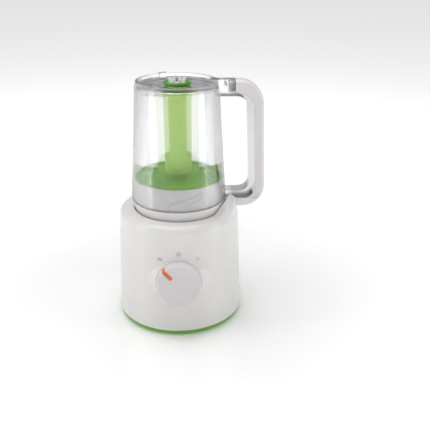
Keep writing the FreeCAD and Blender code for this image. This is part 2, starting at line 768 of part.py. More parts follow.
# ---------------------------------------------------------------- boiler
def tank_shell():
    """Half-ring water tank behind the drive shaft, with a filler neck through the deck."""
    def half_ring(inset):
        shift = math.degrees(inset / element_circle)
        return turned([
            (tank_inner_radius + inset, tank_bottom_z + inset, 3.0),
            (tank_outer_radius - inset, tank_bottom_z + inset, 6.0),
            (tank_outer_radius - inset, tank_top_z - inset, 3.0),
            (tank_inner_radius + inset, tank_top_z - inset, 3.0)],
            sweep=tank_sweep_deg - 2 * shift, start=tank_start_deg + shift)
    neck = rod(neck_radius + neck_wall, tank_top_z - 3.0, deck_top_z, 0, neck_y)
    tank = half_ring(0.0).fuse(neck)
    for sign in (-1, 1):
        x = sign * tank_ear_x
        ear = rod(4.6, tank_ear_z, tank_ear_z + 2.4, x, tank_ear_y)
        ear = ear.fuse(block(x - 4.6, x + 4.6, tank_ear_y, tank_ear_y + 12.0, tank_ear_z, tank_ear_z + 2.4))
        tank = tank.fuse(ear)
    tank = tank.cut(half_ring(tank_wall))
    for sign in (-1, 1):
        tank = tank.cut(rod(screw_radius + 0.15, tank_ear_z - 1, tank_ear_z + 4,
                            sign * tank_ear_x, tank_ear_y))
    tank = tank.cut(rod(neck_radius, tank_top_z - 4.0, deck_top_z + 1, 0, neck_y))
    groove_z = tank_top_z - 0.6
    tank = tank.cut(rod(neck_radius + 1.6, groove_z - 2.6, groove_z + 1.6, 0, neck_y))
    for degrees in (0, 180):
        slot = spun(block(0, neck_radius + 1.6, -3.4, 3.4, groove_z, deck_top_z + 1), degrees)
        slot = moved(slot, 0, neck_y)
        tank = tank.cut(slot)
    return tank


def boiler_tank():
    """Deep-drawn bowl of the tank."""
    reach = tank_outer_radius + 20.0
    return tank_shell().common(block(-reach, reach, -reach, reach, 0, tank_joint_z))


def tank_top():
    """Pressed top of the tank with its filler neck, brazed to the bowl."""
    reach = tank_outer_radius + 20.0
    return tank_shell().common(block(-reach, reach, -reach, reach, tank_joint_z, deck_top_z + 5))


def heating_element():
    """Sheathed tube bent round under the tank, with two ends turned down to their terminals."""
    ring = Part.makeTorus(element_circle, element_radius, vec(0, 0, tank_bottom_z - element_radius),
                          vec(0, 0, 1), -180, 180, 120.0)
    ring = spun(ring, 30.0)
    body = ring
    for degrees in (30.0, 150.0):
        x, y = polar(element_circle, degrees)
        body = body.fuse(Part.makeSphere(element_radius, vec(x, y, tank_bottom_z - element_radius)))
        leg_top = tank_bottom_z - element_radius
        body = body.fuse(rod(element_radius, leg_top - 16.0, leg_top, x, y))
        body = body.fuse(rod(1.2, leg_top - 22.0, leg_top - 15.0, x, y))
    return body


def thermostat():
    x, y = polar(element_circle + 12.0, 90.0)
    body = rod(8.0, tank_bottom_z - 7.0, tank_bottom_z, x, y)
    for sx in (-1, 1):
        tab_x = x + sx * 5
        body = body.fuse(block(tab_x - 1.6, tab_x + 1.6, y - 0.4, y + 0.4,
                               tank_bottom_z - 14, tank_bottom_z - 6))
    return body


def thermal_fuse():
    z = tank_bottom_z - 3.0
    body = Part.makeCylinder(3.0, 16.0, vec(-8.0, element_circle - 13.0, z), vec(1, 0, 0))
    lead = Part.makeCylinder(0.6, 30.0, vec(-15.0, element_circle - 13.0, z), vec(1, 0, 0))
    return body.fuse(lead)


def tank_screws():
    return Part.makeCompound([
        screw(tank_ear_z, deck_top_z - deck_thickness, 3.0, screw_radius - 0.2, sign * tank_ear_x, tank_ear_y)
        for sign in (-1, 1)])


def tank_cap():
    """Flush bayonet cap of the water tank: dished top, finger bar, steam outlet in its middle."""
    flange_z = deck_top_z + gasket_height
    top = flange_z + cap_top_height
    cap = rod(neck_radius + neck_wall - 0.4, flange_z, top)
    cap = cap.fuse(rod(neck_radius - cap_clearance, tank_top_z - 3.0, flange_z + 0.5)).removeSplitter()
    cap = cap.cut(rod(neck_radius - cap_clearance - 2.2, tank_top_z + 1.0, top + 1))
    bar = block(-neck_radius + 1, neck_radius - 1, -2.4, 2.4, tank_top_z, top)
    cap = cap.fuse(bar).fuse(rod(6.2, tank_top_z, top))
    groove_z = tank_top_z - 0.6
    for degrees in (90, 270):
        cap = cap.fuse(spun(block(0, neck_radius + 1.1, -2.8, 2.8, groove_z - 2.0, groove_z - 0.2), degrees))
    cap = cap.cut(rod(2.6, tank_top_z - 6, top + 6))
    cap = cap.cut(rod(4.4, top - nozzle_seat, top + 6))
    return moved(cap, 0, neck_y)


def cap_gasket():
    ring = tube(neck_radius + neck_wall - 1.0, neck_radius - 0.1, deck_top_z, deck_top_z + gasket_height)
    return moved(ring, 0, neck_y)


def steam_nozzle():
    """Silicone nozzle in the cap; it ends just under the steam inlet of the jar's lid."""
    foot_z = deck_top_z + gasket_height + cap_top_height - nozzle_seat
    top = lid_floor_z - nozzle_gap
    nozzle = turned([(2.2, foot_z), (4.4, foot_z), (4.4, foot_z + 2.0), (3.6, top, 0.6), (2.2, top)])
    return moved(nozzle, 0, neck_y)


# ---------------------------------------------------------------- control knob
def pointer_solid(grow):
    """Orange bar on the knob's face, bent over its edge; grow widens it to cut its slot."""
    inner, outer = 13.0 - grow, knob_skirt_radius + 0.2 + grow
    face = Part.Face(rounded_wire([
        (inner, -2.2 - grow, 2.0 + grow), (outer, -1.7 - grow),
        (outer, 1.7 + grow), (inner, 2.2 + grow, 2.0 + grow)],
        in_xy))
    bar = face.extrude(vec(0, 0, 2.1 + grow))
    bar.translate(vec(0, 0, knob_depth - 1.2 - grow))
    leg = block(knob_radius - 1.3 - grow, outer, -1.7 - grow, 1.7 + grow, 3.6 - grow, knob_depth)
    bar = bar.fuse(leg).removeSplitter()
    skin = turned([(0, 0), (knob_skirt_radius + 0.7, 0), (knob_radius + 0.75, knob_depth + 0.9, 1.6),
                   (0, knob_depth + 0.9)])
    return bar.common(skin)


def knob_pointer():
    return on_knob_axis(spun(pointer_solid(0.0), knob_rest_deg))


def knob():
    """White rotary knob: cup with a flat face, a socket for the spindle and a slot for the pointer."""
    cup = turned([(0, 0.8), (knob_skirt_radius, 0.8), (knob_radius, knob_depth, 1.3), (0, knob_depth)])
    hollow = turned([(0, 0), (knob_skirt_radius - knob_wall, 0),
                     (knob_radius - knob_wall, knob_depth - knob_wall - 0.6, 1.0),
                     (0, knob_depth - knob_wall - 0.6)])
    cup = cup.cut(hollow)
    socket = tube(6.0, spindle_radius, 1.2, knob_depth - 1.5)
    cup = cup.fuse(socket).cut(rod(spindle_radius, -1, knob_depth - 2.6))
    cup = cup.cut(pointer_solid(0.05).cut(rod(knob_radius - knob_wall, -1, knob_depth - 2.4)))
    return on_knob_axis(spun(cup, knob_rest_deg))


def knob_spindle():
    shaft = rod(spindle_radius, -19.0, knob_depth - 2.6)
    flange = rod(5.4, -5.0, -3.4)
    return on_knob_axis(shaft.fuse(flange))


def rotary_switch():
    """Three-position switch body, hung from the knob boss on two pillars."""
    body = plate([(-16, -16, 2), (16, -16, 2), (16, 16, 2), (-16, 16, 2)], -24.0, -8.0)
    for sx in (-1, 1):
        body = body.fuse(rod(3.0, -8.5, -2.2, sx * 12.0))
        for sy in (-8, 0, 8):
            body = body.fuse(block(sx * 11 - 0.4, sx * 11 + 0.4, sy - 2, sy + 2, -31.0, -23.5))
    return on_knob_axis(body.cut(rod(7.4, -21.0, 0)))


def switch_rotor():
    rotor = tube(7.0, spindle_radius, -20.5, -8.6)
    cam = block(-1.2, 1.2, 5.0, 7.0, -20.5, -8.6)
    return on_knob_axis(rotor.fuse(cam).removeSplitter().common(rod(7.0, -30, 0)))


# ---------------------------------------------------------------- interlock
def interlock_pin():
    """Spring-loaded pin that the lid's tab holds down when the jar is in place."""
    top = shoulder_z + lid_tab_gap - pin_gap
    collar_z = shelf_z + 12.0
    pin = turned([(0, shelf_z - 1.0), (1.6, shelf_z - 1.0), (1.6, collar_z),
                  (3.8, collar_z), (3.8, collar_z + 2.0),
                  (pin_radius, collar_z + 2.0), (pin_radius, top, 0.5), (0, top)])
    return moved(pin, pin_x)


def interlock_spring():
    helix = Part.makeHelix(1.8, 9.0, 2.7)
    section = Part.Wire(Part.makeCircle(0.35, vec(2.7, 0, 0), vec(0, 1, 0)))
    coil = Part.Wire(helix.Edges).makePipeShell([section], True, True)
    return moved(coil, pin_x, 0, shelf_z + 2.45)


def interlock_bracket():
    """Shelf on the housing wall that carries the pin's spring and the microswitch."""
    wall = side_radius(shelf_z) - housing_wall
    shelf = block(pin_x - 6.0, wall + 4.0, -9.0, 9.0, shelf_z, shelf_z + 2.0)
    shelf = shelf.fuse(block(wall - 4.0, wall + 4.0, -9.0, 9.0, shelf_z - 16.0, shelf_z + 2.0))
    inside = turned([(0, 0), (side_radius(0) - housing_wall, 0),
                     (side_radius(shoulder_z) - housing_wall, shoulder_z),
                     (0, shoulder_z)])
    return shelf.common(inside).cut(rod(1.9, shelf_z - 16, shelf_z + 14, pin_x))


def microswitch():
    top = shelf_z - 3.5
    body = block(pin_x - 5.0, pin_x + 3.0, -8.0, 8.0, top - 10.5, top)
    body = body.fuse(rod(1.3, top - 0.5, top + 1.9, pin_x))
    for y in (-6, 0, 6):
        body = body.fuse(block(pin_x - 1.6, pin_x + 0.4, y - 0.4, y + 0.4, top - 15.5, top - 9.5))
    return body


# ---------------------------------------------------------------- jar and handle
def handle_outline(inset, top_z, bottom_z):
    """(x, z) outline of everything inside the handle's outer face, moved inwards by inset."""
    def outer_x(z):
        return handle_top_x + (handle_top_z - z) * handle_lean - inset
    return [
        (handle_root_x, bottom_z), (outer_x(bottom_z), bottom_z, handle_bottom_round - inset),
        (outer_x(top_z), top_z, handle_top_round - inset), (handle_root_x, top_z)]


def handle_envelope():
    half = handle_width / 2
    body = slab(handle_outline(0.0, handle_top_z, shoulder_z + lid_tab_gap), -half, half)
    edges = [e for e in body.Edges
             if abs(abs(e.CenterOfMass.y) - half) < 1e-3 and e.BoundBox.XMax > handle_root_x + 1.0]
    return body.makeFillet(handle_edge_round, edges)


def finger_opening(grow):
    """Hole between the jar and the handle; grow widens it towards the handle's outer face."""
    half = handle_width
    upright = handle_depth - grow
    top = handle_top_z - arm_height + (min(grow, arm_height - 14.5))
    bottom = arm_foot_z + lower_arm_height - grow
    inner_top = handle_top_x + (handle_top_z - top) * handle_lean - upright
    inner_bottom = handle_top_x + (handle_top_z - bottom) * handle_lean - upright
    return slab([(handle_root_x, bottom), (inner_bottom, bottom, inner_round), (inner_top, top, inner_round),
                 (handle_root_x, top)], -half, half)


def grip_region(grow):
    """Space of the white grip: outer part of the handle beyond the clear strip."""
    upright = handle_depth - clear_depth + grow
    top = handle_top_z - arm_height + clear_arm_depth - grow
    inner_top = handle_top_x + (handle_top_z - top) * handle_lean - upright
    low = grip_end_z - grip_low_drop + grow
    inner_bottom = handle_top_x + (handle_top_z - low) * handle_lean - upright
    hollow = slab([(handle_root_x, low), (inner_bottom, low, grip_low_corner), (inner_top, top, grip_corner),
                    (handle_root_x, top)], -handle_width, handle_width)
    space = block(grip_start_x - grow, handle_top_x + 40.0, -handle_width, handle_width,
                  grip_end_z, handle_top_z + 5)
    low_space = block(inner_bottom - grip_low_corner, handle_top_x + 40.0, -handle_width, handle_width,
                      grip_end_z - grow, grip_end_z + grip_low_corner)
    return space.fuse(low_space).cut(hollow)


def conical_band(z0, z1, depth_in, depth_out):
    """Ring that follows the jar's inner wall, from depth_in inside it to depth_out behind it."""
    return turned([
        (jar_radius(z0) - jar_wall - depth_in, z0), (jar_radius(z0) - jar_wall + depth_out, z0),
        (jar_radius(z1) - jar_wall + depth_out, z1), (jar_radius(z1) - jar_wall - depth_in, z1)])


def wall_rib(path, width):
    """Rib on the jar's inner wall along (degrees, z) points, width across, drawn square to its middle."""
    middle = sum(p[0] for p in path) / len(path)
    radius = jar_radius(path[0][1]) - jar_wall

    def flat(degrees, z):
        return radius * math.sin(math.radians(degrees - middle)), z
    points = [flat(*p) for p in path]
    if abs(points[-1][0] - points[0][0]) > abs(points[-1][1] - points[0][1]) * 0.5:
        loop = [(u, z - width / 2) for u, z in points] + [(u, z + width / 2) for u, z in reversed(points)]
    else:
        loop = [(u - width / 2, z) for u, z in points] + [(u + width / 2, z) for u, z in reversed(points)]
    face = Part.Face(rounded_wire(loop, lambda u, v: vec(0, u, v)))
    face.translate(vec(radius - 12, 0, 0))
    bar = face.extrude(vec(20, 0, 0))
    bar.rotate(vec(0, 0, 0), vec(0, 0, 1), middle)
    return bar.common(conical_band(jar_mouth_z, jar_mouth_z + 40.0, rib_depth, jar_wall / 4))


def ramp_z(degrees):
    return ramp_start_z + (degrees - ramp_start_deg) * ramp_slope


def bayonet_ribs():
    """Clear ribs that form one helical groove for a lug of the lid, open at the jar's mouth."""
    steps = 8
    block_start = ramp_start_deg + entry_width_deg
    upper = [(ramp_start_deg + (ramp_end_deg - ramp_start_deg) * i / steps, 0) for i in range(steps + 1)]
    upper = [(a, ramp_z(a) + rib_width / 2) for a, _ in upper]
    lower_end = ramp_end_deg - 2.5
    lower = [(block_start + (lower_end - block_start) * i / 4, 0) for i in range(5)]
    lower = [(a, ramp_z(a) - groove_height - rib_width / 2) for a, _ in lower]
    ribs = [
        wall_rib(upper, rib_width),
        wall_rib([(ramp_start_deg, jar_mouth_z), (ramp_start_deg, ramp_start_z + rib_width)], rib_width),
        wall_rib(lower, rib_width),
        wall_rib([(block_start, jar_mouth_z), (block_start, ramp_z(block_start) - groove_height)], rib_width),
        wall_rib([(ramp_end_deg - 0.6, ramp_z(ramp_end_deg) - groove_height - 0.6),
                  (ramp_end_deg - 0.6, ramp_z(ramp_end_deg) + rib_width)], rib_width)]
    joined = ribs[0]
    for rib in ribs[1:]:
        joined = joined.fuse(rib)
    return joined


def jar():
    """Clear jar, mouth down: tapered wall, recessed closed end, clear half of the handle, lugs and ribs."""
    floor_top, floor_bottom = closed_end_top_z, closed_end_z
    inner_top = jar_radius(floor_bottom) - jar_wall
    body = turned([
        (jar_mouth_radius - jar_wall, jar_mouth_z, 0.5), (jar_mouth_radius, jar_mouth_z, 0.8),
        (jar_top_radius, jar_taper_top_z, 5.0), (rim_radius, jar_rim_z - 2.0, 2.0),
        (rim_radius, jar_rim_z, 0.8),
        (rim_radius - rim_width, jar_rim_z, 0.8), (rim_radius - rim_width - 0.6, floor_top, 0.8),
        (0, floor_top), (0, floor_bottom), (inner_top, floor_bottom, 3.5)])
    low = shoulder_z - 10.0
    bite = jar_wall / 3
    inside = turned([(0, low), (jar_radius(low) - bite, low),
                     (jar_radius(jar_rim_z) - bite, jar_rim_z), (0, jar_rim_z)])
    frame = handle_envelope().cut(block(0, handle_top_x + 40, -50, 50, low, arm_foot_z))
    frame = frame.cut(rod(jar_mouth_radius + 0.4, low, jar_mouth_z))
    frame = frame.cut(finger_opening(0.0)).cut(inside)
    frame = frame.cut(grip_region(grip_clearance))
    frame = frame.cut(grip_tongue(tongue_gap)).cut(Part.makeCompound(grip_pins().Solids))
    window_x = grip_start_x - tongue_length - 1.4
    frame = frame.cut(block(window_x - 3.6, window_x, -20, 20, handle_top_z - 6.4, handle_top_z - 4.8))
    body = body.fuse(frame)
    body = body.cut(rod(carrier_body_radius + 0.1, floor_bottom - 1, floor_top + 1))
    lug = turned([(rim_radius - 9.0, floor_top - 0.5), (rim_radius - 1.0, floor_top - 0.5),
                  (rim_radius - 1.0, jar_rim_z + 1.6, 0.8), (rim_radius - 9.0, jar_rim_z + 1.6, 0.8)],
                 sweep=12.0, start=-6.0)
    for degrees in (-5.0, 115.0, 235.0):
        body = body.fuse(spun(lug, degrees))
    ribs = bayonet_ribs()
    for copy in around(ribs, bayonet_count):
        body = body.fuse(copy)
    return body


def handle_grip():
    """White cover clipped over the outside of the clear handle, with a tongue in the upper arm."""
    grip = handle_envelope().common(grip_region(0.0)).fuse(grip_tongue(0.0))
    return grip.cut(grip_core()).cut(grip_pins()).cut(latch_marks())


def latch_marks():
    """Shallow hook-shaped groove on both sides, where the lid's tab meets the grip's foot."""
    half = handle_width / 2
    x, z = handle_top_x - 5.0, grip_end_z
    grooves = []
    for y in (-half, half):
        for x0, x1, z0, z1 in ((0, 0.8, 0, 6.0), (0, 4.4, 5.2, 6.0), (3.6, 4.4, 3.0, 6.0)):
            grooves.append(block(x + x0, x + x1, y - 0.7, y + 0.7, z + z0, z + z1))
    return Part.makeCompound(grooves)


def grip_tongue(grow):
    """Tongue of the grip that slides into the clear upper arm; grow widens it to cut its pocket."""
    half = tongue_width / 2 + grow
    low = handle_top_z - arm_height + clear_arm_depth + 0.3
    return block(grip_start_x - tongue_length - grow, grip_start_x + 6.0, -half, half,
                 low - grow, handle_top_z - 3.2 + grow)


def grip_core():
    """Hollow inside the grip's upright that lightens it and leaves a moulded wall."""
    inset = 2.4
    low, high = grip_end_z + 16.0, handle_top_z - 40.0

    def outer_x(z):
        return handle_top_x + (handle_top_z - z) * handle_lean
    depth = handle_depth - clear_depth
    return slab([
        (outer_x(low) - depth + inset, low, 2.0), (outer_x(low) - inset, low, 2.0),
        (outer_x(high) - inset, high, 2.0), (outer_x(high) - depth + inset, high, 2.0)],
        -handle_width / 2 + inset, handle_width / 2 - inset)


def grip_pins():
    """Snap pins through the clear arm into the grip's tongue."""
    x = grip_start_x - snap_pin_inset
    z = handle_top_z - arm_height + clear_arm_depth + 0.3 + snap_pin_height
    return Part.makeCompound([
        Part.makeCylinder(snap_pin_radius, 8.0, vec(x, side * handle_width / 2, z), vec(0, -side, 0))
        for side in (-1, 1)])


# ---------------------------------------------------------------- lid, seal, strainer
def lid():
    """White lid: conical band, tab under the handle, plug inside the jar, steam chamber and chimney."""
    band_top = jar_mouth_z - seal_gap
    plug_low = jar_radius(band_top) - jar_wall - lid_clearance
    plug_high = jar_radius(lid_top_z) - jar_wall - lid_clearance
    step_z = shoulder_z - 2.0
    foot_z = deck_top_z + seat_ring_height + seat_gap
    body = turned([
        (0, lid_floor_z), (seat_ring_inner + 0.4, lid_floor_z), (seat_ring_inner + 0.4, foot_z),
        (seat_ring_outer, foot_z), (seat_ring_outer, step_z),
        (lid_band_bottom_radius - 0.3, step_z), (lid_band_bottom_radius, shoulder_z, 0.6),
        (jar_mouth_radius, band_top, 0.8),
        (plug_low, band_top), (plug_high, lid_top_z, 0.6), (plug_high - lid_wall, lid_top_z, 0.6),
        (plug_low - lid_wall, lid_floor_z + 6.0, 4.0), (plug_low - lid_wall - 4.0, lid_floor_z + 2.4, 2.0),
        (0, lid_floor_z + 2.4)])
    tab = handle_envelope().common(block(0, handle_top_x + 40, -50, 50, lid_floor_z, arm_foot_z - tab_gap))
    keep_out = turned([(0, lid_floor_z), (lid_band_bottom_radius - 1.5, lid_floor_z),
                       (lid_band_bottom_radius - 1.5, shoulder_z),
                        (jar_mouth_radius - 1.5, band_top), (0, band_top)])
    body = body.fuse(tab.cut(keep_out))
    body = body.cut(tube(seal_outer + seal_side_gap, plug_low + 0.2,
                         band_top - seal_height - 0.1, band_top + 1))
    chimney = tube(5.0, 2.5, lid_floor_z + 1.0, strainer_plate_z - 3.0, 0, neck_y)
    body = body.fuse(chimney).cut(rod(2.5, lid_floor_z - 1, strainer_plate_z, 0, neck_y))
    rest_deg = ramp_end_deg - 2.0 - lug_width_deg
    lug_z = ramp_z(rest_deg + lug_width_deg / 2) - groove_height / 2
    lug = conical_band(lug_z - lug_height / 2, lug_z + lug_height / 2, lid_clearance + 0.6, -lug_gap)
    wedge = turned([(30, lug_z - 9), (70, lug_z - 9), (70, lug_z + 9), (30, lug_z + 9)],
                   sweep=lug_width_deg, start=rest_deg)
    lug = lug.common(wedge)
    for copy in around(lug, bayonet_count):
        body = body.fuse(copy)
    return body


def lid_seal():
    band_top = jar_mouth_z - seal_gap
    plug_low = jar_radius(band_top) - jar_wall - lid_clearance
    return tube(seal_outer, plug_low + 0.2 + seal_side_gap, band_top - seal_height, band_top - 0.05)


def strainer():
    """Green perforated tray on top of the lid's chamber, with a finger tab."""
    plug_high = jar_radius(lid_top_z) - jar_wall - lid_clearance
    inner = plug_high - lid_wall - strainer_fit
    top = strainer_plate_z + strainer_thickness
    body = turned([
        (0, strainer_plate_z), (inner - 0.2, strainer_plate_z, 1.5),
        (inner, lid_top_z), (plug_high - 0.1, lid_top_z),
        (plug_high - 0.1, lid_top_z + 1.2, 0.6), (inner - 1.6, lid_top_z + 1.2, 0.6),
        (inner - 2.2, top, 1.2), (0, top)])
    holes = []
    rings = int((inner - 5.0) / 6.0)
    for ring in range(1, rings):
        ring_radius = 5.0 + 6.0 * ring
        hole = rod(strainer_hole_radius, strainer_plate_z - 1, top + 1, ring_radius)
        holes += around(hole, int(2 * math.pi * ring_radius / 5.6))
    holes.append(rod(strainer_hole_radius, strainer_plate_z - 1, top + 1))
    body = body.cut(Part.makeCompound(holes))
    tab = turned([(inner - 5.4, top - 0.6), (inner - 3.2, top - 0.6), (inner - 3.2, top + 13.0, 0.9),
                  (inner - 5.4, top + 13.0, 0.9)], sweep=19.0, start=-5.0)
    return body.fuse(tab)


# ---------------------------------------------------------------- blade unit
def blade_carrier():
    """Green insert through the jar's closed end that holds the blade shaft's bush."""
    bore = blade_shaft_radius + bush_wall
    ring_bore = coupling_radius + coupling_gap
    web_top = closed_end_top_z + 0.2
    return turned([
        (bore, closed_end_z - carrier_depth), (carrier_body_radius, closed_end_z - carrier_depth),
        (carrier_body_radius, closed_end_top_z), (carrier_ring_radius, closed_end_top_z),
        (carrier_ring_radius, jar_rim_z - carrier_ring_drop, 0.8),
        (ring_bore, jar_rim_z - carrier_ring_drop, 0.5),
        (ring_bore, web_top),
        (bore, web_top)])


def carrier_nut():
    outer = carrier_ring_radius - 0.2
    nut = tube(outer, carrier_body_radius, closed_end_z - carrier_depth + 0.4, closed_end_z - 1.0)
    notches = around(block(outer - 1.4, outer + 2, -1.4, 1.4, closed_end_z - 5, closed_end_z), 6)
    return nut.cut(Part.makeCompound(notches))


def carrier_seal():
    return tube(carrier_ring_radius - 1.8, carrier_body_radius, closed_end_z - 1.0, closed_end_z)


def shaft_bush():
    return tube(blade_shaft_radius + bush_wall, blade_shaft_radius + running_gap,
                closed_end_z - carrier_depth, closed_end_top_z + 0.2)


def blade_shaft():
    return rod(blade_shaft_radius, hub_top_z - 24.0, closed_end_top_z + 3.4)


def driven_coupling():
    """White dog ring on the end of the blade shaft; it meets the base's coupling when the jar is flipped."""
    foot = closed_end_top_z + 0.5
    ring = dog_ring(foot, coupling_top_z, coupling_top_z - 3.4, coupling_radius, coupling_radius - 3.4,
                    blade_shaft_radius)
    return ring


def blade_hub():
    """Tall green hub that keeps food off the axis; its collar clamps the blade."""
    outer = [
        (0, hub_bottom_z), (hub_bottom_radius, hub_bottom_z, 5.0), (hub_top_radius, hub_collar_z),
        (hub_collar_radius, hub_collar_z + 1.0, 0.8), (hub_collar_radius, hub_top_z, 1.2), (0, hub_top_z)]
    hollow = [
        (0, hub_bottom_z + hub_wall), (hub_bottom_radius - hub_wall, hub_bottom_z + hub_wall, 3.0),
        (hub_top_radius - hub_wall, hub_collar_z - 14.0, 1.0), (0, hub_collar_z - 14.0)]
    body = turned(outer).cut(turned(hollow))
    body = body.cut(rod(blade_shaft_radius, hub_top_z - 24.0, hub_top_z + 1))
    return body.cut(blade_stack(0.02))


def blade_stack(grow):
    """Blade root plate inside the hub's collar, with its two wings."""
    z = hub_collar_z + 3.4
    plate_shape = tube(9.5, blade_shaft_radius, z - grow, z + blade_thickness + grow)
    for degrees, tip_z in ((-140.0, z + 4.4), (40.0, z + 0.9)):
        wing = Part.makeLoft([
            wing_section(7.0, 5.6, z, blade_thickness, 0.0, grow),
            wing_section(21.0, 5.4, z, blade_thickness, 0.0, grow),
            wing_section(30.0, 4.4, (z + tip_z) / 2, 1.1, -2.6, grow),
            wing_section(blade_tip_radius, 1.6, tip_z, 0.6, -8.0, grow)], True, True)
        plate_shape = plate_shape.fuse(spun(wing, degrees))
    return plate_shape


def wing_section(radius, half_width, z, thickness, sweep_back, grow):
    """Rectangle across a wing at a distance from the axis; sweep_back trails the tip."""
    y0, y1 = sweep_back - half_width - grow, sweep_back + half_width + grow
    return Part.makePolygon([
        vec(radius, y0, z - grow), vec(radius, y1, z - grow), vec(radius, y1, z + thickness + grow),
        vec(radius, y0, z + thickness + grow), vec(radius, y0, z - grow)])


def blade_wings():
    return blade_stack(0.0)


# ---------------------------------------------------------------- assembly
PARTS = {
    "housing": housing,
    "trim_ring": trim_ring,
    "bottom_plate": lambda: bottom_plate_holes(bottom_plate()),
    "foot_ring": foot_ring,
    "housing_screws": housing_screws,
    "seat_tray": seat_tray,
    "tray_screws": tray_screws,
    "cord_gland": cord_gland,
    "cord_clamp": cord_clamp,
    "motor_stator": stator,
    "field_coils": field_coils,
    "armature": armature,
    "commutator": commutator,
    "motor_shaft": motor_shaft,
    "upper_bracket": upper_bracket,
    "lower_bracket": lower_bracket,
    "motor_bearings": bearings,
    "motor_bolts": motor_bolts,
    "motor_isolators": motor_isolators,
    "isolator_screws": isolator_screws,
    "cooling_fan": cooling_fan,
    "brush_holders": brush_holders,
    "carbon_brushes": carbon_brushes,
    "drive_coupling": drive_coupling,
    "boiler_tank": boiler_tank,
    "tank_top": tank_top,
    "heating_element": heating_element,
    "thermostat": thermostat,
    "thermal_fuse": thermal_fuse,
    "tank_screws": tank_screws,
    "tank_cap": tank_cap,
    "cap_gasket": cap_gasket,
    "steam_nozzle": steam_nozzle,
    "knob": knob,
    "knob_pointer": knob_pointer,
    "knob_spindle": knob_spindle,
    "rotary_switch": rotary_switch,
    "switch_rotor": switch_rotor,
    "interlock_pin": interlock_pin,
    "interlock_spring": interlock_spring,
    "interlock_bracket": interlock_bracket,
    "microswitch": microswitch,
    "jar": jar,
    "handle_grip": handle_grip,
    "grip_pins": grip_pins,
    "lid": lid,
    "lid_seal": lid_seal,
    "strainer": strainer,
    "blade_carrier": blade_carrier,
    "carrier_nut": carrier_nut,
    "carrier_seal": carrier_seal,
    "shaft_bush": shaft_bush,
    "blade_shaft": blade_shaft,
    "driven_coupling": driven_coupling,
    "blade_hub": blade_hub,
    "blade_wings": blade_wings,
}

os.makedirs("parts", exist_ok=True)
for name, build in PARTS.items():
    shape = build()
    solids = shape.Solids
    if not solids or not all(s.isValid() and s.Volume > 0 for s in solids):
        print("CHECK", name, [(s.isValid(), round(s.Volume, 1)) for s in solids])
    shape = solids[0] if len(solids) == 1 else Part.makeCompound(solids)
    shape.exportStep(os.path.join("parts", name + ".step"))
    print(name, len(solids), "solid(s),", round(sum(s.Volume for s in solids) / 1000, 2), "cm3")
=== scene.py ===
# %% [markdown]
# # Baby food maker: how it looks
# The shape comes ready made: every rigid piece is already modelled at its real size, and this
# lesson only dresses it. It could be modelled again here, but then the two models would drift
# apart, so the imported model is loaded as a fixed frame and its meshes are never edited.

# %% Load the frame
import math

import bmesh
import bpy
from mathutils import Matrix, Vector


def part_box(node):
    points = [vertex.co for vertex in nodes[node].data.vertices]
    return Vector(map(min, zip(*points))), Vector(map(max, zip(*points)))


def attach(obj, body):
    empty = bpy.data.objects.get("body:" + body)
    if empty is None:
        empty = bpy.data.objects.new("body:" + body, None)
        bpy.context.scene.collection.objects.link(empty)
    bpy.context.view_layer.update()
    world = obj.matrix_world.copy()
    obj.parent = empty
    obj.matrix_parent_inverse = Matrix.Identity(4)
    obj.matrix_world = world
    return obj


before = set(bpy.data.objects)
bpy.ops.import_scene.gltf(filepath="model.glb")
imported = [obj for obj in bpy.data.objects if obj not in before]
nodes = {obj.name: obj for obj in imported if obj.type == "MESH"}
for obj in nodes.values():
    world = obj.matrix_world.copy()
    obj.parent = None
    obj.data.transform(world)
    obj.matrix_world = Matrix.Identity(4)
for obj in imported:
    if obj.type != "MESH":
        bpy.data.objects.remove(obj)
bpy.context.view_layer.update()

MM = 0.001

# %% [markdown]
# Colours are written the way a colour picker shows them, as sRGB hex. Shaders work in linear
# light, so one function turns a hex value into the linear number that a socket takes.


# %% Colours
def paint(hex_value):
    """Linear RGBA from an sRGB hex value such as "E8E8E6"."""
    parts = [int(hex_value[i:i + 2], 16) / 255 for i in (0, 2, 4)]
    linear = [c / 12.92 if c <= 0.04045 else ((c + 0.055) / 1.055) ** 2.4 for c in parts]
    return (*linear, 1.0)


print("white in linear light:", [round(c, 3) for c in paint("F2F2F0")])

# %% [markdown]
# A material is a small graph. Every finish here is made of the same few nodes: a noise, a ramp
# that turns it into a narrow range, a bump. One helper adds any node with its settings and its
# links, so the recipes below stay short enough to read.


# %% Adding a node
def add_node(tree, kind, settings=None, links=None, **values):
    """Adds a node; settings are its properties, links maps its inputs to sockets, values sets inputs."""
    node = tree.nodes.new(kind)
    for name, value in (settings or {}).items():
        setattr(node, name, value)
    for name, value in values.items():
        node.inputs[name.replace("_", " ")].default_value = value
    for name, source in (links or {}).items():
        tree.links.new(source, node.inputs[name])
    return node


def empty_material(name):
    """A new material with only its Principled shader and its output."""
    material = bpy.data.materials.new(name)
    material.use_nodes = True
    return material, material.node_tree, material.node_tree.nodes["Principled BSDF"]


def set_shader(shader, **values):
    """Constants go on the shader's own sockets, where an export can find them."""
    for name, value in values.items():
        shader.inputs[name.replace("_", " ")].default_value = value


print("node helpers ready")

# %% [markdown]
# Moulded ABS is what nearly every white kitchen appliance is made of. A polished mould leaves a
# surface that mirrors softly, with a very slight waviness from shrinkage (about 25 mm apart) and
# fine grain. Sharp edges get a painted highlight, a lighter colour for light caught on their rounding.
# Paint would look deeper and harder, so no clear coat is used: the IOR of ABS is 1.54.


# %% Moulded plastic
HIGHLIGHT_FROM, HIGHLIGHT_FULL = 0.53, 0.62  # pointiness where the painted edge highlight starts, and is full
HIGHLIGHT_SHARE = 0.35
GLOSS_PATCH = 9.0 * MM


